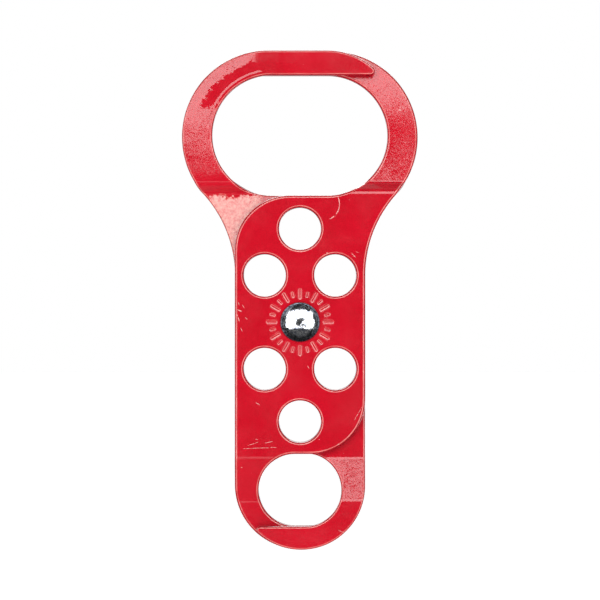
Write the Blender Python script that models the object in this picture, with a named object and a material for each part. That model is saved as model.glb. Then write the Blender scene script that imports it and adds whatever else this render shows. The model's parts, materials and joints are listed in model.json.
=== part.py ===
"""Double-jaw steel lockout hasp: two identical joggled stampings on one rivet.

Frame: +X to the right and +Z up with the large jaw at the top, seen from the
front, which faces -Y.  The origin is on the crown of the large jaw, where the
closed hasp hangs.  The two plates lie face to face about the plane through
PIVOT that is square to Y.  The front plate turns about Y through the rivet;
a positive turn is clockwise from the front and opens both jaws.

Each plate is a flat blank with six padlock holes and a hook at each end.  Both
hooks are joggled by one plate thickness, so they lie in the plane of the other
plate's body.  The rear plate is the same stamping turned over left to right.
"""

import math

import bmesh
import bpy
from mathutils import Matrix, Vector

MM = 0.001

# Sheet and joggle, in millimetres
THICK = 3.0  # plate
GAP = 0.30  # between the two plates
EDGE = 0.45  # broken edge round the blank and its holes
SMALL_STEP_LOW, SMALL_STEP_HIGH = -56.6, -41.6  # long gentle ramp to the small hook
LARGE_STEP_LOW, LARGE_STEP_HIGH = 39.75, 44.25  # short steep ramp to the large hook
BEND_ARC = 2.0  # mid-plane radius of the two steep bends
SMALL_BEND_ARC = 6.0  # mid-plane radius of the two gentle bends
LEAN = 0.25  # a pressed joggle shears and thins: its edges lean only this much

# Blank, seen from the front with the pivot at (0, 0): (centre, radius, turn),
# where turn is +1 on an outer corner and -1 on a hollow one.  Each arc runs
# into the next along their common tangent.
BODY_HALF = 20.35
BODY_TOP, BODY_BOTTOM = 39.5, -41.1
LARGE_JAW_R, SMALL_JAW_R = 18.75, 11.3
CROWN = BODY_TOP + 2 * LARGE_JAW_R  # inner edge of the large hook
TOE = BODY_BOTTOM - 2 * SMALL_JAW_R  # inner edge of the small hook
TIP_R, SMALL_TIP_R = 1.3, 1.1
NOSE = ((-8.4, 62.7), 22.0)
SMALL_BACK = ((-0.35, -50.95), 20.0)
NECK_R = 37.9


def inside_touching(arc, level, radius):
    """Centre of a tip that rounds off the given arc where it meets a level edge."""
    (cx, cy), big = arc
    reach = big - radius
    side = math.sqrt(reach**2 - (level - cy) ** 2)
    return cx, cy, side


_cx, _cy, _side = inside_touching(NOSE, CROWN + TIP_R, TIP_R)
LARGE_TIP = (_cx - _side, CROWN + TIP_R)
_cx, _cy, _side = inside_touching(SMALL_BACK, TOE - SMALL_TIP_R, SMALL_TIP_R)
SMALL_TIP = (_cx + _side, TOE - SMALL_TIP_R)

BLANK = [
    ((BODY_HALF + NECK_R, 14.5), NECK_R, -1),  # hollow from the body up to the hook
    ((9.8, 57.7), 27.0, 1),  # back of the large hook
    (NOSE[0], NOSE[1], 1),  # its nose
    (LARGE_TIP, TIP_R, 1),  # and its tip
    ((8.6, BODY_TOP + LARGE_JAW_R), LARGE_JAW_R, -1),  # large jaw
    ((17.3 - BODY_HALF, BODY_TOP - 17.3), 17.3, 1),  # body's top left corner
    (SMALL_BACK[0], SMALL_BACK[1], 1),  # back of the small hook
    (SMALL_TIP, SMALL_TIP_R, 1),
    ((-1.6, BODY_BOTTOM - SMALL_JAW_R), SMALL_JAW_R, -1),  # small jaw
    ((BODY_HALF - 17.0, BODY_BOTTOM + 17.0), 17.0, 1),  # body's bottom right corner
]
PADLOCK_R = 6.55
PADLOCK_HOLES = [(0.0, 29.15), (0.0, -31.0)] + [
    (sx * 11.0, sy * 14.6) for sx in (-1, 1) for sy in (-1, 1)
]

# Rivet
SHANK_R = 3.2
RIVET_HOLE_R = 3.5
HEAD_R, HEAD_H, HEAD_RIM = 6.15, 2.35, 0.35
TAIL_R, TAIL_H, TAIL_RIM = 5.6, 1.7, 0.45
SEAT_GAP = 0.3  # under each head
RIVET_SIDES = 40

CHORD = 0.035  # how far a facet may lie inside its arc
PIVOT = Vector((0.0, (THICK + GAP) / 2, -CROWN))  # from the origin


def arc_points(centre, radius, start, end, turn):
    """Points of an arc, both ends included."""
    sweep = (end - start) * turn % (2 * math.pi)
    step = 2 * math.acos(1 - min(CHORD / radius, 0.3))
    count = max(2, math.ceil(sweep / step))
    return [
        (
            centre[0] + radius * math.cos(start + turn * sweep * i / count),
            centre[1] + radius * math.sin(start + turn * sweep * i / count),
        )
        for i in range(count + 1)
    ]


def tangent_normal(a, b):
    """Left-hand normal's angle of the line that leaves arc a and runs into arc b."""
    (ax, ay), ar, at = a
    (bx, by), br, bt = b
    dx, dy = bx - ax, by - ay
    lean = math.asin((bt * br - at * ar) / math.hypot(dx, dy))
    return math.atan2(dy, dx) + math.pi / 2 - lean


def outline(arcs):
    """The closed outline round the arcs, counter-clockwise."""
    normals = [
        tangent_normal(arc, arcs[(i + 1) % len(arcs)]) for i, arc in enumerate(arcs)
    ]
    points = []
    for i, (centre, radius, turn) in enumerate(arcs):
        flip = math.pi if turn > 0 else 0.0
        start, end = normals[i - 1] + flip, normals[i] + flip
        points += arc_points(centre, radius, start, end, turn)
    kept = []
    for point in points:
        if not kept or math.dist(point, kept[-1]) > 0.02:
            kept.append(point)
    if math.dist(kept[0], kept[-1]) <= 0.02:
        kept.pop()
    return kept


def circle(centre, radius):
    return arc_points(centre, radius, 0.0, 2 * math.pi - 1e-9, 1)[:-1]


def joggle(v):
    """(offset, slope angle) of the mid-plane at height v: 0 on the body, one step on a hook."""
    step = THICK + GAP
    for low, high, bend in (
        (LARGE_STEP_LOW, LARGE_STEP_HIGH, BEND_ARC),
        (-SMALL_STEP_HIGH, -SMALL_STEP_LOW, SMALL_BEND_ARC),
    ):
        x = v if low > 0 and low == LARGE_STEP_LOW else -v
        if x <= low:
            continue
        run = high - low
        if x >= high:
            return step, 0.0
        # Two arcs of radius `bend` joined by a straight: find its slope.
        slope = 0.0
        for _ in range(60):
            straight = run - 2 * bend * math.sin(slope)
            rise = step - 2 * bend * (1 - math.cos(slope))
            slope = math.atan2(rise, straight)
        s = x - low
        near = min(s, run - s)
        if near < bend * math.sin(slope):
            here = math.asin(near / bend)
            rise = bend * (1 - math.cos(here))
        else:
            here = slope
            rise = bend * (1 - math.cos(slope)) + math.tan(slope) * (
                near - bend * math.sin(slope)
            )
        return (rise if s < run / 2 else step - rise), here
    return 0.0, 0.0


def bend_lines():
    """Heights at which the blank gets a row of points, so that it can bend."""
    heights = set()
    for low, high, bend, parts in (
        (LARGE_STEP_LOW, LARGE_STEP_HIGH, BEND_ARC, 4),
        (SMALL_STEP_LOW, SMALL_STEP_HIGH, SMALL_BEND_ARC, 2),
    ):
        slope = joggle((low + high) / 2)[1]
        reach = bend * math.sin(slope)
        for i in range(parts + 1):
            at = bend * math.sin(slope * i / parts)
            heights |= {round(low + at, 5), round(high - at, 5)}
        heights |= {round(low + reach, 5), round(high - reach, 5)}
    return sorted(heights)


def loop_edges(bm, points, y):
    verts = [bm.verts.new((x, y, z)) for x, z in points]
    return [bm.edges.new((a, b)) for a, b in zip(verts, verts[1:] + verts[:1])]


def plate_mesh(name):
    """The front plate about its pivot, in millimetres: body in front of y = 0, hooks behind."""
    bm = bmesh.new()
    edges = loop_edges(bm, outline(BLANK), 0.0)
    for centre in PADLOCK_HOLES:
        edges += loop_edges(bm, circle(centre, PADLOCK_R), 0.0)
    edges += loop_edges(bm, circle((0.0, 0.0), RIVET_HOLE_R), 0.0)
    bmesh.ops.triangle_fill(bm, use_beauty=True, use_dissolve=False, edges=edges)
    faces = list(bm.faces)
    out = bmesh.ops.extrude_face_region(bm, geom=faces)["geom"]
    moved = [g for g in out if isinstance(g, bmesh.types.BMVert)]
    bmesh.ops.translate(bm, verts=moved, vec=(0.0, THICK, 0.0))
    bmesh.ops.recalc_face_normals(bm, faces=bm.faces)
    rims = [
        e
        for e in bm.edges
        if len(e.link_faces) == 2
        and abs(e.calc_face_angle(0.0) - math.pi / 2) < 0.1
        and abs(e.verts[0].co.y - e.verts[1].co.y) < 1e-6
    ]
    bmesh.ops.bevel(
        bm,
        geom=rims,
        offset=EDGE,
        offset_type="OFFSET",
        segments=1,
        profile=0.5,
        affect="EDGES",
        clamp_overlap=True,
    )
    for height in bend_lines():
        bmesh.ops.bisect_plane(
            bm,
            geom=bm.verts[:] + bm.edges[:] + bm.faces[:],
            dist=1e-4,
            plane_co=(0.0, 0.0, height),
            plane_no=(0.0, 0.0, 1.0),
        )
    middle = THICK / 2
    for vert in bm.verts:
        offset, slope = joggle(vert.co.z)
        side = vert.co.y - middle
        away = 1.0 if vert.co.z > 0 else -1.0
        vert.co.y = middle + offset + side
        vert.co.z -= away * side * LEAN * math.sin(slope)
    bmesh.ops.translate(bm, verts=bm.verts, vec=(0.0, -THICK - GAP / 2, 0.0))
    bmesh.ops.triangulate(bm, faces=[f for f in bm.faces if len(f.verts) > 4])
    bmesh.ops.scale(bm, verts=bm.verts, vec=(MM, MM, MM))
    mesh = bpy.data.meshes.new(name)
    bm.to_mesh(mesh)
    bm.free()
    return mesh


def rivet_profile():
    """Half section of the rivet as (radius, y), from the head's pole to the tail's."""
    under_head = -(THICK + GAP / 2 + SEAT_GAP)
    under_tail = THICK + GAP / 2 + SEAT_GAP

    def dome(radius, height, rim, base, way):
        """Points from the pole down to the seat of a head that bulges `way`."""
        rise = height - rim
        ball = (radius**2 + rise**2) / (2 * rise)
        half = math.asin(radius / ball)
        pole = base + way * height
        rows = 7
        points = [
            (
                ball * math.sin(half * i / rows),
                pole - way * ball * (1 - math.cos(half * i / rows)),
            )
            for i in range(rows + 1)
        ]
        return points + [(radius - 0.25, base)]

    head = dome(HEAD_R, HEAD_H, HEAD_RIM, under_head, -1)
    tail = dome(TAIL_R, TAIL_H, TAIL_RIM, under_tail, 1)
    return head + [(SHANK_R, under_head), (SHANK_R, under_tail)] + tail[::-1]


def rivet_mesh(name):
    bm = bmesh.new()
    verts = [bm.verts.new((r, y, 0.0)) for r, y in rivet_profile()]
    edges = [bm.edges.new(pair) for pair in zip(verts, verts[1:])]
    bmesh.ops.spin(
        bm,
        geom=verts + edges,
        cent=(0.0, 0.0, 0.0),
        axis=(0.0, 1.0, 0.0),
        angle=2 * math.pi,
        steps=RIVET_SIDES,
        use_merge=True,
    )
    bmesh.ops.remove_doubles(bm, verts=bm.verts, dist=1e-4)
    bmesh.ops.recalc_face_normals(bm, faces=bm.faces)
    bmesh.ops.scale(bm, verts=bm.verts, vec=(MM, MM, MM))
    mesh = bpy.data.meshes.new(name)
    bm.to_mesh(mesh)
    bm.free()
    return mesh


def material(name, colour, roughness, metallic, coat=0.0):
    made = bpy.data.materials.new(name)
    made.use_nodes = True
    shader = made.node_tree.nodes["Principled BSDF"]
    shader.inputs["Base Color"].default_value = (*colour, 1.0)
    shader.inputs["Roughness"].default_value = roughness
    shader.inputs["Metallic"].default_value = metallic
    shader.inputs["Coat Weight"].default_value = coat
    made.diffuse_color = (*colour, 1.0)
    return made


def place(name, mesh, look, parent, matrix=None):
    mesh.materials.append(look)
    if matrix is not None:
        mesh.transform(matrix)
    mesh.shade_smooth()
    mesh.set_sharp_from_angle(angle=math.radians(30))
    obj = bpy.data.objects.new(name, mesh)
    obj.parent = parent
    bpy.context.scene.collection.objects.link(obj)
    return obj


def main():
    for obj in list(bpy.data.objects):
        bpy.data.objects.remove(obj, do_unlink=True)
    enamel = material("red_enamel", (0.67, 0.012, 0.025), 0.28, 0.0, 0.6)
    enamel_rear = material("red_enamel_rear", (0.60, 0.012, 0.025), 0.28, 0.0, 0.6)
    plating = material("bright_plating", (0.78, 0.79, 0.80), 0.16, 1.0)

    pivot = bpy.data.objects.new("jaw_pivot", None)
    pivot.empty_display_size = 0.02
    pivot.location = PIVOT * MM
    bpy.context.scene.collection.objects.link(pivot)

    place("front_plate", plate_mesh("front_plate"), enamel, pivot)
    turned_over = Matrix.Rotation(math.pi, 4, "Z")
    place("rear_plate", plate_mesh("rear_plate"), enamel_rear, pivot, turned_over)
    place("pivot_rivet", rivet_mesh("pivot_rivet"), plating, pivot)


main()
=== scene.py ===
import json
import math

import bmesh
import bpy
import numpy as np
from mathutils import Matrix, Vector


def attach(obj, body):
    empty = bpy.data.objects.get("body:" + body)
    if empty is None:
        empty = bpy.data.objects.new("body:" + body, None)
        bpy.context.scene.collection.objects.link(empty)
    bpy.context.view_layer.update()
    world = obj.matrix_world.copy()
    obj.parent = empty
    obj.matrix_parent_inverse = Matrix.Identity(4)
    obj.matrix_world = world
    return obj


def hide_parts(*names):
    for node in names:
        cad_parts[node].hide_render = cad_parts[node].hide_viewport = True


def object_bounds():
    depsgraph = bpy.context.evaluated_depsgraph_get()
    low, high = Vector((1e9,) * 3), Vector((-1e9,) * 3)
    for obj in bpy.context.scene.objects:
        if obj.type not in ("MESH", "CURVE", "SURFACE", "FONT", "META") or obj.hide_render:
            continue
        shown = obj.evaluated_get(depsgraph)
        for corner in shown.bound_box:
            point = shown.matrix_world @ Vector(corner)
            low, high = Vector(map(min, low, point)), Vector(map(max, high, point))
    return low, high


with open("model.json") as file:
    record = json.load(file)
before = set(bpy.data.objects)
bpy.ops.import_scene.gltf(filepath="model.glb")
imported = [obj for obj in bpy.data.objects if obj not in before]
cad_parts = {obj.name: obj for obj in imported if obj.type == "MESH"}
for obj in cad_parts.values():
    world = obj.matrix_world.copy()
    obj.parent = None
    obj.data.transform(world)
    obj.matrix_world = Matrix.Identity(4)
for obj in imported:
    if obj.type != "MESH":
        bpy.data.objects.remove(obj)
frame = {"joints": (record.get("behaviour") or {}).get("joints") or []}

CAD_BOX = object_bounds()
MM = 0.001

# ---------------------------------------------------------------- dimensions
# The stamping, in millimetres about the rivet, as the CAD states it.
# The enamel is 0.12 mm thick on each face, so it nearly closes the 0.30 mm between the plates.
FILM = 0.12
THICK, GAP = 3.0 + 2 * FILM, 0.30 - 2 * FILM
SMALL_STEP = (41.6, 56.6)
LARGE_STEP = (39.75, 44.25)
BEND_ARC, SMALL_BEND_ARC = 2.0, 6.0
LEAN = 0.25
BODY_HALF = 20.35
BODY_TOP, BODY_BOTTOM = 39.5, -41.1
LARGE_JAW_R, SMALL_JAW_R = 18.75, 11.3
CROWN = BODY_TOP + 2 * LARGE_JAW_R
TOE = BODY_BOTTOM - 2 * SMALL_JAW_R
TIP_R, SMALL_TIP_R = 1.3, 1.1
NOSE = ((-8.4, 62.7), 22.0)
SMALL_BACK = ((-0.35, -50.95), 20.0)
NECK_R = 37.9
PADLOCK_R = 6.55
PADLOCK_HOLES = [(0.0, 29.15), (0.0, -31.0)] + [
    (sx * 11.0, sy * 14.6) for sx in (-1, 1) for sy in (-1, 1)
]
SHANK_R, RIVET_HOLE_R = 3.2, 3.5
SEAT = 3.45  # from the plane between the plates to under the rivet's head, less the film
SINK = 0.12
HEAD_R, HEAD_H, HEAD_RIM = 6.15, 2.35 + SINK, 0.35 + SINK
TAIL_R, TAIL_H, TAIL_RIM = 5.6, 1.7 + SINK, 0.45 + SINK

# Surface detail that the CAD leaves out.
ROLL = 0.85  # rounding of the outward face's edge, where the punch rolls it over
BURR = 0.65  # rounding of the other face's edge, tumbled and filled with enamel
ROLL_ROWS, BURR_ROWS = 12, 10
FINE = 0.004  # chord error of every arc

hinge = frame["joints"][0]
PIVOT = Vector(hinge["pos_m"]) / MM
assert abs(PIVOT.z + CROWN) < 1e-3


def tip_centre(arc, level, radius, way):
    (cx, cy), big = arc
    return cx + way * math.sqrt((big - radius) ** 2 - (level - cy) ** 2), level


BLANK = [
    ((BODY_HALF + NECK_R, 14.5), NECK_R, -1),
    ((9.8, 57.7), 27.0, 1),
    (NOSE[0], NOSE[1], 1),
    (tip_centre(NOSE, CROWN + TIP_R, TIP_R, -1), TIP_R, 1),
    ((8.6, BODY_TOP + LARGE_JAW_R), LARGE_JAW_R, -1),
    ((17.3 - BODY_HALF, BODY_TOP - 17.3), 17.3, 1),
    (SMALL_BACK[0], SMALL_BACK[1], 1),
    (tip_centre(SMALL_BACK, TOE - SMALL_TIP_R, SMALL_TIP_R, 1), SMALL_TIP_R, 1),
    ((-1.6, BODY_BOTTOM - SMALL_JAW_R), SMALL_JAW_R, -1),
    ((BODY_HALF - 17.0, BODY_BOTTOM + 17.0), 17.0, 1),
]


# ------------------------------------------------------------------- outline
def arc_angles(radius, start, end, turn, chord=FINE):
    sweep = (end - start) * turn % (2 * math.pi)
    step = 2 * math.acos(1 - min(chord / radius, 0.3))
    count = max(3, math.ceil(sweep / step))
    return [start + turn * sweep * i / count for i in range(count + 1)]


def tangent_normal(a, b):
    (ax, ay), ar, at = a
    (bx, by), br, bt = b
    dx, dy = bx - ax, by - ay
    lean = math.asin((bt * br - at * ar) / math.hypot(dx, dy))
    return math.atan2(dy, dx) + math.pi / 2 - lean


def blank_stations():
    """Points round the blank as (arc centre, signed radius, angle): an inset only changes the radius."""
    normals = [
        tangent_normal(arc, BLANK[(i + 1) % len(BLANK)]) for i, arc in enumerate(BLANK)
    ]
    stations = []
    for i, (centre, radius, turn) in enumerate(BLANK):
        flip = math.pi if turn > 0 else 0.0
        for angle in arc_angles(radius, normals[i - 1] + flip, normals[i] + flip, turn):
            stations.append((centre, radius, turn, angle))
    points = ring(stations, 0.0)
    return [s for i, s in enumerate(stations) if math.dist(points[i], points[i - 1]) > 0.005]


def hole_stations(centre, radius, count):
    return [(centre, radius, -1, -2 * math.pi * i / count) for i in range(count)]


def ring(stations, inset):
    """The loop at this inset from its edge, into the material."""
    out = []
    for (cx, cy), radius, turn, angle in stations:
        r = radius - inset if turn > 0 else radius + inset
        out.append((cx + r * math.cos(angle), cy + r * math.sin(angle)))
    return out


def joggle(v):
    """(offset towards the other plate, slope) of the plate at height v."""
    step = THICK + GAP
    for (low, high), bend, way in ((LARGE_STEP, BEND_ARC, 1), (SMALL_STEP, SMALL_BEND_ARC, -1)):
        x = v * way
        if x <= low:
            continue
        if x >= high:
            return step, 0.0
        run, slope = high - low, 0.0
        for _ in range(60):
            slope = math.atan2(
                step - 2 * bend * (1 - math.cos(slope)), run - 2 * bend * math.sin(slope)
            )
        s = x - low
        near = min(s, run - s)
        if near < bend * math.sin(slope):
            here = math.asin(near / bend)
            rise = bend * (1 - math.cos(here))
        else:
            here = slope
            rise = bend * (1 - math.cos(slope)) + math.tan(slope) * (
                near - bend * math.sin(slope)
            )
        return (rise if s < run / 2 else step - rise), here
    return 0.0, 0.0


def bend_rows():
    rows = set()
    for (low, high), bend, parts, way in (
        (LARGE_STEP, BEND_ARC, 9, 1),
        (SMALL_STEP, SMALL_BEND_ARC, 6, -1),
    ):
        slope = joggle(way * (low + high) / 2)[1]
        for i in range(parts + 1):
            at = bend * math.sin(slope * i / parts)
            rows |= {round(way * (low + at), 5), round(way * (high - at), 5)}
    return sorted(rows)


# --------------------------------------------------------------------- plate
TICK_IN, TICK_OUT = 7.2, 10.45  # ring of plain struck index ticks round the rivet
TICKS = 24
DIAL_IN, DIAL_OUT, DIAL_ROWS, DIAL_POINTS = 6.7, 10.8, 36, 840


STRUCK = 0.13


def smooth(a, b, x):
    t = min(1.0, max(0.0, (x - a) / (b - a)))
    return t * t * (3 - 2 * t)


def tick_depth(r, angle):
    """How deep the index ring is struck here: long and short bars by turns."""
    pitch = 2 * math.pi / TICKS
    k = math.floor(angle / pitch + 0.5)
    across = abs(angle - k * pitch) * r
    long_bar = k % 2 == 0
    inner = TICK_IN if long_bar else TICK_IN + 0.75
    outer = TICK_OUT if long_bar else TICK_OUT - 0.75
    wide = 0.42 if long_bar else 0.36
    bar = 1 - smooth(wide * 0.2, wide * 1.35, across)
    ends = smooth(inner - 0.22, inner + 0.22, r) * (1 - smooth(outer - 0.22, outer + 0.22, r))
    lip = math.exp(-(((across - wide * 1.7) / 0.16) ** 2)) * ends
    return STRUCK * bar * ends - 0.03 * lip


def plate_mesh(name):
    """The front plate about its pivot: body in front of y = 0, both hooks behind it."""
    bm = bmesh.new()
    edge = bm.verts.layers.float.new("edge")
    painted_edge_shade = bm.verts.layers.float.new("painted_edge_shade")
    face_front, face_back = -THICK, 0.0
    loops = [blank_stations()]
    loops += [hole_stations(c, PADLOCK_R, 144) for c in PADLOCK_HOLES]
    loops += [hole_stations((0.0, 0.0), RIVET_HOLE_R, 72)]
    sections = []
    def edge_highlight_and_thin_film(turned):
        """How strongly the pale painted highlight line tints this far round an edge, from 0 at the face to 1 at the
        wall; the film pulled thin there is only part of it.
        """
        return math.exp(-(((turned - 0.21) / 0.15) ** 2)) if turned > 0 else 0.0

    def deep(turned):
        """How much painted shade darkens this far round an edge, in a thin dark line beside the pale one."""
        return math.exp(-(((turned - 0.70) / 0.20) ** 2))

    for i in range(ROLL_ROWS + 1):
        t = math.pi / 2 * (1 - i / ROLL_ROWS)
        crest = edge_highlight_and_thin_film(i / ROLL_ROWS)
        sections.append((ROLL * (1 - math.cos(t)), face_front + ROLL * (1 - math.sin(t)), crest, deep(i / ROLL_ROWS)))
    for i in range(BURR_ROWS + 1):
        t = math.pi / 2 * i / BURR_ROWS
        sections.append((BURR * (1 - math.cos(t)), face_back - BURR * (1 - math.sin(t)), edge_highlight_and_thin_film(1 - i / BURR_ROWS), deep(1 - i / BURR_ROWS)))

    def cap(edges, way):
        made = bmesh.ops.triangle_fill(
            bm, use_beauty=True, use_dissolve=False, edges=edges, normal=(0.0, way, 0.0)
        )
        return [g for g in made["geom"] if isinstance(g, bmesh.types.BMFace)]

    front_edges, back_edges = [], []
    for stations in loops:
        last = None
        for inset, y, crest, edge_shade in sections:
            verts = []
            for x, z in ring(stations, inset):
                v = bm.verts.new((x, y, z))
                v[edge] = crest
                v[painted_edge_shade] = edge_shade
                verts.append(v)
            if last is not None:
                for i in range(len(verts)):
                    j = (i + 1) % len(verts)
                    bm.faces.new((last[i], last[j], verts[j], verts[i]))
            else:
                front_edges += [
                    bm.edges.get(pair) or bm.edges.new(pair)
                    for pair in zip(verts, verts[1:] + verts[:1])
                ]
            last = verts
        back_edges += [bm.edges.get(pair) for pair in zip(last, last[1:] + last[:1])]

    # The struck ring is a dense polar patch let into the outward face.
    rows = []
    for k in range(DIAL_ROWS + 1):
        r = DIAL_IN + (DIAL_OUT - DIAL_IN) * k / DIAL_ROWS
        verts = []
        for i in range(DIAL_POINTS):
            a = 2 * math.pi * i / DIAL_POINTS
            deep = tick_depth(r, a) if 0 < k < DIAL_ROWS else 0.0
            v = bm.verts.new((r * math.cos(a), face_front + deep, r * math.sin(a)))
            wall = min(1.0, max(0.0, deep / STRUCK))
            # The tick walls get the edge value too, so the pale painted highlight line runs along them.
            v[edge] = 3.6 * wall * (1 - wall)
            verts.append(v)
        if rows:
            for i in range(DIAL_POINTS):
                j = (i + 1) % DIAL_POINTS
                bm.faces.new((rows[-1][i], rows[-1][j], verts[j], verts[i]))
        rows.append(verts)
    inner = [bm.edges.get(p) for p in zip(rows[0], rows[0][1:] + rows[0][:1])]
    outer = [bm.edges.get(p) for p in zip(rows[-1], rows[-1][1:] + rows[-1][:1])]
    rivet_edges = front_edges[-72:]
    cap(front_edges[:-72] + outer, -1.0)
    cap(rivet_edges + inner, -1.0)
    cap(back_edges, 1.0)
    bmesh.ops.recalc_face_normals(bm, faces=bm.faces)

    for height in bend_rows():
        bmesh.ops.bisect_plane(
            bm,
            geom=bm.verts[:] + bm.edges[:] + bm.faces[:],
            dist=2e-5,
            plane_co=(0.0, 0.0, height),
            plane_no=(0.0, 0.0, 1.0),
        )
    middle = -THICK / 2
    for v in bm.verts:
        offset, slope = joggle(v.co.z)
        side = v.co.y - middle
        away = 1.0 if v.co.z > 0 else -1.0
        v.co.y = middle + offset + side
        v.co.z -= away * side * LEAN * math.sin(slope)
    bmesh.ops.translate(bm, verts=bm.verts, vec=(0.0, -GAP / 2, 0.0))
    bmesh.ops.triangulate(bm, faces=[f for f in bm.faces if len(f.verts) > 4])
    mesh = bpy.data.meshes.new(name)
    bm.to_mesh(mesh)
    bm.free()
    return mesh


def set_in_place(mesh, turned=False):
    if turned:
        mesh.transform(Matrix.Rotation(math.pi, 4, "Z"))
    mesh.transform(Matrix.Translation(PIVOT))
    mesh.transform(Matrix.Scale(MM, 4))
    mesh.update()


def link(name, mesh, material):
    mesh.materials.append(material)
    mesh.shade_smooth()
    obj = bpy.data.objects.new(name, mesh)
    bpy.context.scene.collection.objects.link(obj)
    return obj


def weighted(obj):
    m = obj.modifiers.new("face_normals", "WEIGHTED_NORMAL")
    m.mode = "FACE_AREA"
    m.weight = 90
    m.keep_sharp = False
    return obj


# --------------------------------------------------------------------- rivet
def hash_noise(x, y, seed):
    v = math.sin(x * 127.1 + y * 311.7 + seed * 74.7) * 43758.5453
    return v - math.floor(v)


def value_noise(x, y, seed):
    ix, iy = math.floor(x), math.floor(y)
    fx, fy = x - ix, y - iy
    fx, fy = fx * fx * (3 - 2 * fx), fy * fy * (3 - 2 * fy)
    a = hash_noise(ix, iy, seed) * (1 - fx) + hash_noise(ix + 1, iy, seed) * fx
    b = hash_noise(ix, iy + 1, seed) * (1 - fx) + hash_noise(ix + 1, iy + 1, seed) * fx
    return (a * (1 - fy) + b * fy) * 2 - 1


def nick_height(x, z):
    """The tool mark by the pole of the head: a small raised nib with a hooked gouge below it."""
    nib = 0.10 * math.exp(-(((x - 0.95) / 0.26) ** 2 + ((z + 0.35) / 0.42) ** 2))
    away = math.hypot(x - 0.9, z + 1.75)
    turn = math.atan2(z + 1.75, x - 0.9)
    hook = math.exp(-(((away - 0.8) / 0.15) ** 2)) * smooth(0.2, 0.9, turn + 0.4)
    return nib - 0.075 * hook - 0.05 * math.exp(-(((x - 0.35) / 0.2) ** 2 + ((z + 1.0) / 0.5) ** 2))


def rivet_mesh(name):
    """Domed head in front with a struck nib at its pole, shank, and a formed tail behind."""
    under_head = -(SEAT - SINK)
    under_tail = -under_head
    around = 192
    profile = []  # (radius, y, dent amount)

    def dome(radius, height, rim, base, way, rows, nib):
        rise = height - rim
        ball = (radius**2 + rise**2) / (2 * rise)
        half = math.asin(radius / ball)
        pole = base + way * height
        points = []
        for i in range(rows + 1):
            t = half * (i / rows) ** 0.9
            r, y = ball * math.sin(t), pole - way * ball * (1 - math.cos(t))
            y += way * nib(r)
            points.append((r, y, 1.0))
        # rolled rim and the undercut beneath it
        corner = 0.30
        out = []
        for r, y, d in points:
            if r < radius - corner * 0.75:
                out.append((r, y, d))
        top = out[-1]
        for k in range(1, 9):
            a = math.pi / 2 * k / 8
            r = top[0] + (radius - top[0]) * math.sin(a)
            y = top[1] + (base + way * 0.16 - top[1]) * (1 - math.cos(a))
            out.append((r, y, 0.4))
        out.append((radius - 0.10, base + way * 0.03, 0.0))
        out.append((radius - 0.28, base, 0.0))
        return out

    def head_nib(r):
        return 0.0

    def tail_nib(r):
        # flat-topped formed tail with a shallow dimple and one tool ring
        return (
            -0.42 * math.exp(-((r / 1.25) ** 4))
            + 0.05 * math.exp(-(((r - 1.9) / 0.35) ** 2))
            - 0.05 * math.exp(-(((r - 3.9) / 0.16) ** 2))
        )

    head = dome(HEAD_R, HEAD_H, HEAD_RIM, under_head, -1, 46, head_nib)
    tail = dome(TAIL_R, TAIL_H, TAIL_RIM, under_tail, 1, 46, tail_nib)
    profile = head + [(SHANK_R + 0.15, under_head, 0.0), (SHANK_R, under_head + 0.15, 0.0)]
    profile += [(SHANK_R, under_tail - 0.15, 0.0), (SHANK_R + 0.15, under_tail, 0.0)] + tail[::-1]
    bm = bmesh.new()
    rows = []
    for r, y, dent in profile:
        if r < 1e-6:
            rows.append([bm.verts.new((0.0, y, 0.0))])
            continue
        loop = []
        for i in range(around):
            a = 2 * math.pi * i / around
            x, z = r * math.cos(a), r * math.sin(a)
            # faint hammer flats left by forming
            wave = 0.55 * value_noise(x * 0.55 + 9, z * 0.55 + 4, 3) + 0.3 * value_noise(x * 1.3, z * 1.3, 8)
            way = -1 if y < 0 else 1
            depth = 0.045 if y < 0 else 0.05
            lift = -depth * dent * wave
            if y < 0 and dent == 1.0:
                lift += nick_height(x, z)
            loop.append(bm.verts.new((x, y + way * lift, z)))
        rows.append(loop)
    for a, b in zip(rows, rows[1:]):
        if len(a) == 1:
            for i in range(around):
                bm.faces.new((a[0], b[(i + 1) % around], b[i]))
        elif len(b) == 1:
            for i in range(around):
                bm.faces.new((a[i], a[(i + 1) % around], b[0]))
        else:
            for i in range(around):
                j = (i + 1) % around
                bm.faces.new((a[i], a[j], b[j], b[i]))
    bmesh.ops.recalc_face_normals(bm, faces=bm.faces)
    mesh = bpy.data.meshes.new(name)
    bm.to_mesh(mesh)
    bm.free()
    return mesh


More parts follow.
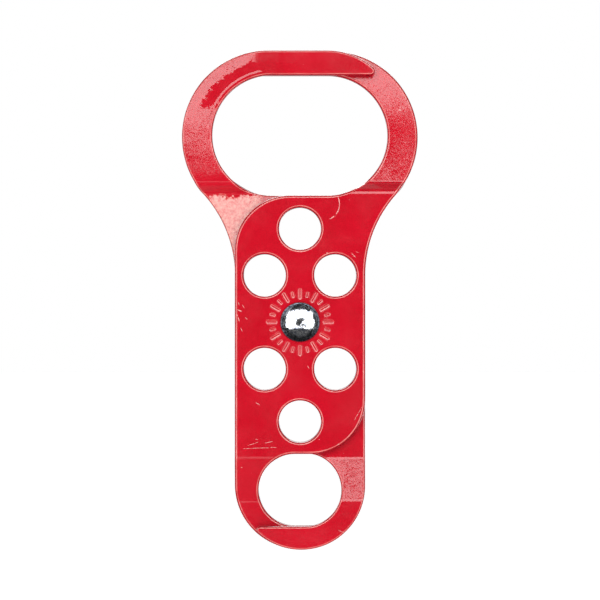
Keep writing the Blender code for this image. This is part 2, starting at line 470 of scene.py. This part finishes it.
# ----------------------------------------------------------------- materials
class Graph:
    """A small helper for writing node trees as expressions."""

    def __init__(self, material):
        material.use_nodes = True
        self.tree = material.node_tree
        self.nodes = self.tree.nodes
        self.shader = self.nodes["Principled BSDF"]

    def put(self, socket, value):
        if isinstance(value, bpy.types.NodeSocket):
            self.tree.links.new(value, socket)
        elif value is not None:
            socket.default_value = value

    def math(self, op, a, b=None, c=None, clamp=False):
        n = self.nodes.new("ShaderNodeMath")
        n.operation, n.use_clamp = op, clamp
        for i, value in enumerate((a, b, c)):
            if value is not None:
                self.put(n.inputs[i], value)
        return n.outputs[0]

    def vmath(self, op, a, b=None, scale=None):
        n = self.nodes.new("ShaderNodeVectorMath")
        n.operation = op
        self.put(n.inputs[0], a)
        if b is not None:
            self.put(n.inputs[1], b)
        if scale is not None:
            self.put(n.inputs["Scale"], scale)
        return n.outputs["Value"] if op in ("LENGTH", "DISTANCE", "DOT_PRODUCT") else n.outputs[0]

    def noise(self, vector, scale, detail=2.0, rough=0.5, distortion=0.0):
        n = self.nodes.new("ShaderNodeTexNoise")
        self.put(n.inputs["Vector"], vector)
        n.inputs["Scale"].default_value = scale
        n.inputs["Detail"].default_value = detail
        n.inputs["Roughness"].default_value = rough
        n.inputs["Distortion"].default_value = distortion
        return n.outputs["Fac"]

    def ramp(self, value, low, high, out_low=0.0, out_high=1.0, smooth_step=True):
        n = self.nodes.new("ShaderNodeMapRange")
        n.interpolation_type = "SMOOTHSTEP" if smooth_step else "LINEAR"
        self.put(n.inputs["Value"], value)
        for key, v in (("From Min", low), ("From Max", high), ("To Min", out_low), ("To Max", out_high)):
            n.inputs[key].default_value = v
        return n.outputs["Result"]

    def mix(self, factor, a, b):
        n = self.nodes.new("ShaderNodeMix")
        n.data_type = "RGBA"
        self.put(n.inputs["Factor"], factor)
        self.put(n.inputs[6], a)
        self.put(n.inputs[7], b)
        return n.outputs[2]

    def coords(self):
        n = self.nodes.new("ShaderNodeTexCoord")
        return n.outputs["Object"]

    def xyz(self, vector):
        n = self.nodes.new("ShaderNodeSeparateXYZ")
        self.put(n.inputs[0], vector)
        return n.outputs

    def combine(self, x, y, z):
        n = self.nodes.new("ShaderNodeCombineXYZ")
        for i, value in enumerate((x, y, z)):
            self.put(n.inputs[i], value)
        return n.outputs[0]

    def attribute(self, name):
        n = self.nodes.new("ShaderNodeAttribute")
        n.attribute_name = name
        return n.outputs["Fac"]

    def bump(self, height, distance, strength=1.0, normal=None):
        n = self.nodes.new("ShaderNodeBump")
        n.inputs["Strength"].default_value = strength
        n.inputs["Distance"].default_value = distance
        self.put(n.inputs["Height"], height)
        if normal is not None:
            self.put(n.inputs["Normal"], normal)
        return n.outputs[0]


def enamel(name, marks=(), arcs=(), seed=0.0, rear=False):
    """Baked gloss enamel over pressed steel, in red, with orange peel, nicks and rubs, and a pale highlight line and
    a dark shade line painted along the edges.

    marks are short scratches (x, z, x, z, half width) and arcs are curved ones (x, z, radius,
    half width, middle angle, half sweep), all in millimetres about the rivet."""
    material = bpy.data.materials.new(name)
    g = Graph(material)
    where = g.coords()
    moved = g.vmath("ADD", where, (seed * 0.01, seed * 0.007, seed * 0.013))
    mm = g.vmath("SCALE", g.vmath("SUBTRACT", where, tuple(PIVOT * MM)), scale=1000.0)
    x, y, z = g.xyz(mm)
    crest = g.attribute("edge")
    # The hinge turns about Y, so this is the same in every pose.
    outward = g.vmath("DOT_PRODUCT", g.nodes.new("ShaderNodeNewGeometry").outputs["Normal"], (0.0, -1.0, 0.0))
    facing = g.ramp(outward, 0.5, 0.8)
    wall = g.ramp(g.math("ABSOLUTE", outward), 0.15, 0.45, 1.0, 0.0)

    cloud = g.noise(moved, 55.0, 3.0, 0.55)
    mottle = g.noise(moved, 900.0, 2.0, 0.6)
    flow = g.noise(moved, 160.0, 2.0, 0.5)
    peel = g.noise(moved, 1150.0, 1.5, 0.5)
    grit = g.noise(moved, 3800.0, 1.0, 0.5)

    deep = (0.288, 0.0012, 0.0070, 1.0)
    bright = (0.336, 0.0023, 0.0102, 1.0)
    red = g.mix(g.ramp(g.math("ADD", g.math("MULTIPLY", cloud, 0.7), g.math("MULTIPLY", mottle, 0.3)), 0.3, 0.7), deep, bright)
    # Painted highlight: a pale line is painted along the rolled edges and the tick walls, where the rounding would
    # catch the softboxes. Film pulled thin over the pale primer there is only part of it.
    thin_film_and_highlight = g.ramp(g.math("ADD", crest, g.math("MULTIPLY", g.math("SUBTRACT", flow, 0.5), 0.9)), 0.35, 1.15, 0.0, 0.72)
    red = g.mix(thin_film_and_highlight, red, (0.50, 0.20, 0.175, 1.0))

    # Painted shade: a dark line is painted just inside the rolled edges, beside the pale highlight line.
    red = g.mix(g.math("MULTIPLY", g.attribute("painted_edge_shade"), 0.62), red, (0.085, 0.0012, 0.0035, 1.0))

    # Nicks: along the edges, plus a sparse scatter on the faces.
    speck = g.noise(moved, 620.0, 3.0, 0.6)
    edge_nick = g.ramp(g.math("ADD", speck, g.math("MULTIPLY", crest, 0.085)), 0.735, 0.765)
    face_nick = g.ramp(g.noise(moved, 430.0, 2.0, 0.5), 0.775, 0.790)
    nick = g.math("MAXIMUM", edge_nick, face_nick)

    rub = None
    wobble = g.math("MULTIPLY", g.math("SUBTRACT", g.noise(moved, 700.0, 2.0, 0.6), 0.5), 0.9)
    for x0, z0, x1, z1, half in marks:
        dx, dz = x1 - x0, z1 - z0
        length = math.hypot(dx, dz)
        ax = g.math("SUBTRACT", x, x0)
        az = g.math("SUBTRACT", z, z0)
        along = g.math("ADD", g.math("MULTIPLY", ax, dx / length), g.math("MULTIPLY", az, dz / length))
        across = g.math("ABSOLUTE", g.math("ADD", g.math("ADD", g.math("MULTIPLY", ax, -dz / length), g.math("MULTIPLY", az, dx / length)), g.math("MULTIPLY", wobble, 0.35)))
        over = g.math("ABSOLUTE", g.math("SUBTRACT", along, length / 2))
        line = g.math("MULTIPLY", g.ramp(across, half * 0.5, half * 1.3, 1.0, 0.0), g.ramp(over, length / 2 - 0.5, length / 2 + 0.3, 1.0, 0.0))
        rub = line if rub is None else g.math("MAXIMUM", rub, line)
    for cx, cz, radius, half, middle, sweep in arcs:
        ax = g.math("SUBTRACT", x, cx)
        az = g.math("SUBTRACT", z, cz)
        r = g.math("SQRT", g.math("ADD", g.math("MULTIPLY", ax, ax), g.math("MULTIPLY", az, az)))
        across = g.math("ABSOLUTE", g.math("ADD", g.math("SUBTRACT", r, radius), g.math("MULTIPLY", wobble, 0.25)))
        ca, sa = math.cos(middle), math.sin(middle)
        cosine = g.math("DIVIDE", g.math("ADD", g.math("MULTIPLY", ax, ca), g.math("MULTIPLY", az, sa)), g.math("MAXIMUM", r, 0.01))
        line = g.math("MULTIPLY", g.ramp(across, half * 0.5, half * 1.3, 1.0, 0.0), g.ramp(cosine, math.cos(sweep), math.cos(sweep * 0.8)))
        rub = line if rub is None else g.math("MAXIMUM", rub, line)
    if rub is not None:
        broken = g.ramp(g.noise(moved, 1500.0, 2.0, 0.6), 0.36, 0.55)
        rub = g.math("MULTIPLY", g.math("MULTIPLY", rub, facing), broken)
        worn = g.math("MAXIMUM", nick, rub)
    else:
        worn = nick
    if rear:
        # A pale patch is painted on this neck: partly wear where the front plate's shoulder sweeps over it, partly a
        # painted highlight.
        swept_wear_and_highlight = g.math("MULTIPLY", g.ramp(z, 14.0, 28.0), g.ramp(g.math("ADD", z, g.math("MULTIPLY", g.math("SUBTRACT", g.noise(moved, 420.0, 4.0, 0.65), 0.5), 7.0)), 38.6, 39.6, 1.0, 0.0))
        swept_wear_and_highlight = g.math("MULTIPLY", g.math("MULTIPLY", swept_wear_and_highlight, facing), g.ramp(x, -11.0, -13.0))
        swept_wear_and_highlight = g.math("MULTIPLY", swept_wear_and_highlight, g.ramp(g.noise(moved, 800.0, 4.0, 0.7), 0.30, 0.66, 0.15, 0.66))
        red = g.mix(swept_wear_and_highlight, red, (0.50, 0.26, 0.21, 1.0))
    primer = g.mix(g.noise(moved, 2400.0, 2.0, 0.6), (0.52, 0.23, 0.21, 1.0), (0.60, 0.38, 0.35, 1.0))
    colour = g.mix(g.math("MULTIPLY", worn, 0.75), red, primer)
    g.put(g.shader.inputs["Base Color"], colour)

    smudge = g.noise(moved, 90.0, 4.0, 0.65, 0.6)
    rough = g.math("ADD", g.ramp(smudge, 0.3, 0.75, 0.12, 0.21), g.math("MULTIPLY", worn, 0.35))
    g.put(g.shader.inputs["Roughness"], rough)
    g.shader.inputs["IOR"].default_value = 1.42
    g.shader.inputs["Coat Weight"].default_value = 0.35
    g.shader.inputs["Coat Roughness"].default_value = 0.06
    g.shader.inputs["Coat IOR"].default_value = 1.4

    # Orange peel, with a slow sag in the film under it, and the step down into a nick.
    height = g.math("ADD", g.math("MULTIPLY", peel, 1.0), g.math("MULTIPLY", grit, 0.55))
    normal = g.bump(height, 0.000015)
    drawn = g.noise(g.combine(g.math("MULTIPLY", x, 2.2), g.math("MULTIPLY", y, 0.25), g.math("MULTIPLY", z, 2.2)), 1.0, 3.0, 0.6)
    normal = g.bump(g.math("MULTIPLY", drawn, wall), 0.000045, normal=normal)
    normal = g.bump(flow, 0.000030, normal=normal)
    normal = g.bump(g.math("SUBTRACT", 1.0, worn), 0.00005, normal=normal)

    # The dipped film is not flat on the drawn hooks: it hangs in a wedge, so they catch the light.
    torn = g.math("SUBTRACT", g.noise(moved, 420.0, 4.0, 0.65), 0.5)
    v = g.math("ADD", z, g.math("MULTIPLY", torn, 3.0))
    if rear:
        rho = g.math("SQRT", g.math("ADD", g.math("POWER", g.math("ADD", x, 9.8), 2.0), g.math("POWER", g.math("SUBTRACT", z, 57.7), 2.0)))
        top = g.math("MULTIPLY", g.ramp(g.math("ADD", z, g.math("MULTIPLY", torn, 14.0)), 65.5, 68.5), g.ramp(g.math("ADD", rho, g.math("MULTIPLY", torn, 7.0)), 24.2, 23.2))
        limb = g.math("ADD", g.ramp(v, 45.0, 60.0, 0.050, 0.072, False), g.ramp(v, 60.0, 73.0, 0.0, 0.12, False))
        limb = g.math("MULTIPLY", limb, g.ramp(v, 43.0, 47.0))
        limb = g.math("MULTIPLY", g.math("MULTIPLY", limb, g.ramp(x, -19.0, -12.0, 1.0, 0.0)), g.math("SUBTRACT", 1.0, top))
        neck = g.math("MULTIPLY", g.ramp(v, 12.0, 27.0, 0.0, 0.22), g.ramp(g.math("ADD", z, g.math("MULTIPLY", torn, 7.0)), 38.6, 39.6, 1.0, 0.0))
        neck = g.math("MULTIPLY", neck, g.ramp(x, -5.0, -12.0))
        step = g.math("MULTIPLY", g.ramp(z, -56.4, -55.0, 0.0, 0.155), g.ramp(z, -43.0, -41.8, 1.0, 0.0))
        tilt = g.math("ADD", g.math("ADD", limb, neck), step)
        tilt = g.math("ADD", tilt, g.math("MULTIPLY", g.ramp(z, 62.0, 76.0, 0.0, -0.075), top))
        # A bead of film stands along the jaw's inner edge, from the limb round to the top.
        jx, jz = g.math("ADD", x, 8.6), g.math("SUBTRACT", z, BODY_TOP + LARGE_JAW_R)
        jr = g.math("SQRT", g.math("ADD", g.math("MULTIPLY", jx, jx), g.math("MULTIPLY", jz, jz)))
        off = g.math("SUBTRACT", g.math("ADD", jr, g.math("MULTIPLY", torn, 0.5)), LARGE_JAW_R + 1.55)
        bead = g.ramp(g.math("ABSOLUTE", off), 0.16, 0.42, 1.0, 0.0)
        turn = g.math("DIVIDE", g.math("SUBTRACT", jz, g.math("MULTIPLY", jx, 1.0)), g.math("MAXIMUM", jr, 0.1))
        bead = g.math("MULTIPLY", g.math("MULTIPLY", bead, g.ramp(turn, 1.06, 1.22)), g.ramp(x, -8.0, -14.0))
        tilt = g.math("ADD", tilt, g.math("MULTIPLY", bead, 0.26))
    else:
        low_part = g.ramp(v, 46.0, 60.0, 0.064, 0.038, False)
        high_part = g.ramp(v, 60.0, 76.0, 0.0, 0.068, False)
        tilt = g.math("MULTIPLY", g.math("ADD", low_part, high_part), g.math("MULTIPLY", g.ramp(v, 42.6, 44.6), g.ramp(x, 6.0, 16.0)))
    tilt = g.math("MULTIPLY", tilt, g.ramp(flow, 0.25, 0.75, 0.85, 1.15))
    tilt = g.math("MULTIPLY", tilt, g.ramp(grit, 0.32, 0.68, 0.48, 1.52, False))
    tilt = g.math("MULTIPLY", tilt, g.ramp(g.math("ABSOLUTE", outward), 0.55, 0.9))
    lean = g.nodes.new("ShaderNodeVectorTransform")
    lean.vector_type, lean.convert_from, lean.convert_to = "VECTOR", "OBJECT", "WORLD"
    sideways = g.math("MULTIPLY", tilt, g.ramp(g.noise(moved, 2900.0, 1.0, 0.5), 0.3, 0.7, -0.75, 0.75, False))
    g.put(lean.inputs[0], g.combine(sideways, 0.0, tilt))
    normal = g.vmath("NORMALIZE", g.vmath("ADD", normal, lean.outputs[0]))
    g.put(g.shader.inputs["Normal"], normal)
    g.put(g.shader.inputs["Coat Normal"], normal)
    material.diffuse_color = (0.7, 0.02, 0.04, 1.0)
    return material


def plating(name):
    """Bright nickel plate over a headed rivet: polished, with fine forming lines and handling haze, and a dark
    reflection ring painted round the rim of the head and tail, with some grime in it.
    """
    material = bpy.data.materials.new(name)
    g = Graph(material)
    where = g.vmath("SUBTRACT", g.coords(), tuple(PIVOT * MM))
    x, y, z = g.xyz(where)
    radius = g.math("SQRT", g.math("ADD", g.math("MULTIPLY", x, x), g.math("MULTIPLY", z, z)))
    haze = g.noise(where, 420.0, 4.0, 0.6, 0.4)
    fine = g.noise(where, 2600.0, 2.0, 0.6)
    rings = g.noise(g.combine(g.math("MULTIPLY", radius, 9000.0), 0.0, 0.0), 1.0, 2.0, 0.6)
    stain = g.ramp(g.noise(where, 300.0, 3.0, 0.6), 0.58, 0.75, 0.0, 0.5)
    # Painted reflection: the outer band of the head and tail is painted near black, as the dark reflected ring,
    # mottled like grime.
    dark_rim_reflection_and_grime = g.ramp(g.math("ADD", g.math("MULTIPLY", radius, 1000.0), g.math("MULTIPLY", haze, 1.6)), 5.2, 6.5)
    pitted = g.ramp(g.noise(where, 1700.0, 3.0, 0.7), 0.36, 0.62)
    tint = g.mix(pitted, (0.30, 0.33, 0.42, 1.0), (0.93, 0.94, 0.95, 1.0))
    tint = g.mix(stain, tint, (0.42, 0.45, 0.55, 1.0))
    tint = g.mix(g.math("MULTIPLY", dark_rim_reflection_and_grime, 0.93), tint, g.mix(pitted, (0.006, 0.008, 0.012, 1.0), (0.13, 0.155, 0.21, 1.0)))
    g.put(g.shader.inputs["Base Color"], tint)
    g.shader.inputs["Metallic"].default_value = 1.0
    g.put(g.shader.inputs["Roughness"], g.math("ADD", g.ramp(haze, 0.3, 0.8, 0.07, 0.20), g.math("MULTIPLY", dark_rim_reflection_and_grime, 0.22)))
    normal = g.bump(g.math("ADD", g.math("MULTIPLY", fine, 0.5), g.math("MULTIPLY", rings, 0.5)), 0.000008)
    normal = g.bump(g.noise(where, 700.0, 2.0, 0.5), 0.00002, normal=normal)
    g.put(g.shader.inputs["Normal"], normal)
    material.diffuse_color = (0.8, 0.8, 0.82, 1.0)
    return material


# ------------------------------------------------------------------- the hasp
front_marks = [
    (16.0, 21.5, 17.3, 20.3, 0.11),
    (17.3, 21.9, 18.3, 21.7, 0.10),
    (-19.9, 4.0, -18.2, 3.4, 0.14),
    (-19.7, 2.4, -18.9, 0.2, 0.13),
    (-17.5, -39.4, -7.4, -39.0, 0.07),
    (-16.2, -38.4, -12.8, -37.3, 0.07),
    (-13.8, -25.0, -12.6, -25.7, 0.10),
    (2.3, -13.4, 2.8, -14.4, 0.09),
    (-17.9, 5.3, -17.4, 4.4, 0.11),
    (-19.2, 6.1, -18.9, 5.3, 0.09),
    (-17.0, 1.4, -16.4, 0.9, 0.10),
    (-18.4, -1.9, -18.0, -2.8, 0.09),
    (-14.4, -36.3, -13.2, -36.6, 0.07),
    (-10.8, -37.6, -8.6, -37.2, 0.08),
    (17.0, -30.4, 19.2, -26.6, 0.07),
]
front_arcs = [
    (7.4, 36.7, 4.9, 0.13, math.radians(-18), math.radians(52)),
]
rear_marks = [
    (27.6, 66.0, 29.0, 64.0, 0.08),
    (12.0, -64.9, 14.4, -65.7, 0.08),
]
red_front = enamel("enamel_front", front_marks, front_arcs, 0.0)
red_rear = enamel("enamel_rear", rear_marks, (), 3.7, rear=True)
bright = plating("rivet_plating")

mesh = plate_mesh("front_plate_enamelled")
set_in_place(mesh)
front_plate = weighted(link("front_plate_enamelled", mesh, red_front))
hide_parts("front_plate")
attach(front_plate, "front")

mesh = plate_mesh("rear_plate_enamelled")
set_in_place(mesh, turned=True)
rear_plate = weighted(link("rear_plate_enamelled", mesh, red_rear))
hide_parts("rear_plate")
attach(rear_plate, "rear")

mesh = rivet_mesh("pivot_rivet_plated")
set_in_place(mesh)
rivet = link("pivot_rivet_plated", mesh, bright)
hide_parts("pivot_rivet")
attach(rivet, "rear")

# --------------------------------------------------------------------- stage
CENTRE = Vector((0.0, PIVOT.y, (CAD_BOX[0].z + CAD_BOX[1].z) / 2 / MM)) * MM

floor_mesh = bpy.data.meshes.new("studio_floor")
reach = 9.0
low = CAD_BOX[0].z - 0.16
floor_mesh.from_pydata(
    [(-reach, -reach, low), (reach, -reach, low), (reach, reach, low), (-reach, reach, low)],
    [],
    [(0, 1, 2, 3)],
)
floor = bpy.data.objects.new("studio_floor", floor_mesh)
bpy.context.scene.collection.objects.link(floor)
paper = bpy.data.materials.new("studio_paper")
g = Graph(paper)
g.shader.inputs["Base Color"].default_value = (0.86, 0.86, 0.86, 1.0)
g.shader.inputs["Roughness"].default_value = 0.9
g.shader.inputs["Emission Color"].default_value = (1.0, 1.0, 1.0, 1.0)
g.shader.inputs["Emission Strength"].default_value = 0.665
floor_mesh.materials.append(paper)
floor.visible_glossy = False


def panel(name, azimuth, elevation, distance, width, height, radiance, colour=(1, 1, 1)):
    """A softbox facing the hasp. Azimuth 0 is in front, on the -Y side."""
    a, e = math.radians(azimuth), math.radians(elevation)
    away = Vector((math.sin(a) * math.cos(e), -math.cos(a) * math.cos(e), math.sin(e)))
    light = bpy.data.lights.new(name, "AREA")
    light.shape = "RECTANGLE"
    light.size, light.size_y = width, height
    light.energy = radiance * math.pi * width * height
    light.color = colour
    obj = bpy.data.objects.new(name, light)
    obj.location = CENTRE + away * distance
    obj.rotation_mode = "QUATERNION"
    obj.rotation_quaternion = away.to_track_quat("Z", "Y")
    obj.visible_camera = False
    bpy.context.scene.collection.objects.link(obj)
    return obj


panel("softbox_top", 0, 27, 1.2, 1.0, 0.58, 5.8)
panel("softbox_upper_left", -34, 22, 1.2, 0.50, 0.50, 4.5)
panel("softbox_upper_right", 34, 22, 1.2, 0.50, 0.50, 3.8)
panel("softbox_left", -31, -6, 1.2, 0.76, 0.62, 2.8)
panel("softbox_right", 31, -6, 1.2, 0.76, 0.62, 2.4)
panel("softbox_low", 0, -16, 1.2, 0.55, 0.17, 1.6)
panel("softbox_back", 180, 42, 1.2, 1.1, 0.60, 6.5)
panel("softbox_back_left", -122, 12, 1.2, 0.45, 0.90, 4.0)
panel("softbox_back_right", 152, -20, 1.2, 0.40, 0.70, 4.0)

world = bpy.data.worlds.new("studio")
bpy.context.scene.world = world
world.use_nodes = True
tree = world.node_tree
tree.nodes.clear()
out = tree.nodes.new("ShaderNodeOutputWorld")
pick = tree.nodes.new("ShaderNodeMixShader")
path = tree.nodes.new("ShaderNodeLightPath")
seen = tree.nodes.new("ShaderNodeBackground")
seen.inputs["Color"].default_value = (1.0, 1.0, 1.0, 1.0)
seen.inputs["Strength"].default_value = 1.0
lit = tree.nodes.new("ShaderNodeBackground")
lit.inputs["Strength"].default_value = 1.0
coords = tree.nodes.new("ShaderNodeTexCoord")
split = tree.nodes.new("ShaderNodeSeparateXYZ")
ramp = tree.nodes.new("ShaderNodeValToRGB")
tree.links.new(coords.outputs["Generated"], split.inputs[0])
half = tree.nodes.new("ShaderNodeMath")
half.operation = "MULTIPLY_ADD"
half.inputs[1].default_value = 0.5
half.inputs[2].default_value = 0.5
tree.links.new(split.outputs["Y"], half.inputs[0])
tree.links.new(half.outputs[0], ramp.inputs[0])
# 0 is straight in front, 1 straight behind: a tent with a dim mouth, a dark gap round it, then paper.
stops = [
    (0.0, 0.04), (0.004, 0.04), (0.010, 0.24), (0.17, 0.24), (0.20, 0.03), (0.34, 0.03),
    (0.40, 0.45), (0.50, 0.75), (0.70, 0.48), (1.0, 0.40),
]
elements = ramp.color_ramp.elements
while len(elements) < len(stops):
    elements.new(0.5)
for element, (at, level) in zip(elements, stops):
    element.position = at
    element.color = (level, level, level, 1.0)
tree.links.new(ramp.outputs["Color"], lit.inputs["Color"])
low_dim = tree.nodes.new("ShaderNodeMapRange")
low_dim.interpolation_type = "SMOOTHSTEP"
for key, value in (("From Min", -0.40), ("From Max", -0.12), ("To Min", 0.45), ("To Max", 1.0)):
    low_dim.inputs[key].default_value = value
tree.links.new(split.outputs["Z"], low_dim.inputs["Value"])
tree.links.new(low_dim.outputs["Result"], lit.inputs["Strength"])
tree.links.new(path.outputs["Is Camera Ray"], pick.inputs[0])
tree.links.new(lit.outputs[0], pick.inputs[1])
tree.links.new(seen.outputs[0], pick.inputs[2])
tree.links.new(pick.outputs[0], out.inputs[0])

# -------------------------------------------------------------------- camera
PIXELS_PER_MM = 3.2
camera = bpy.data.cameras.new("camera")
camera.lens = 180.0
camera.sensor_width = 36.0
camera.dof.use_dof = False
wide = 600 / PIXELS_PER_MM * MM
distance = wide / 2 / (camera.sensor_width / 2 / camera.lens)
eye = bpy.data.objects.new("camera", camera)
eye.location = CENTRE + Vector((0.0, -distance, 0.0))
eye.rotation_euler = (math.pi / 2, 0.0, 0.0)
camera.clip_start, camera.clip_end = 0.05, 60.0
bpy.context.scene.collection.objects.link(eye)
bpy.context.scene.camera = eye

view = bpy.context.scene.view_settings
view.view_transform = "Standard"
view.look = "None"

bpy.context.view_layer.update()
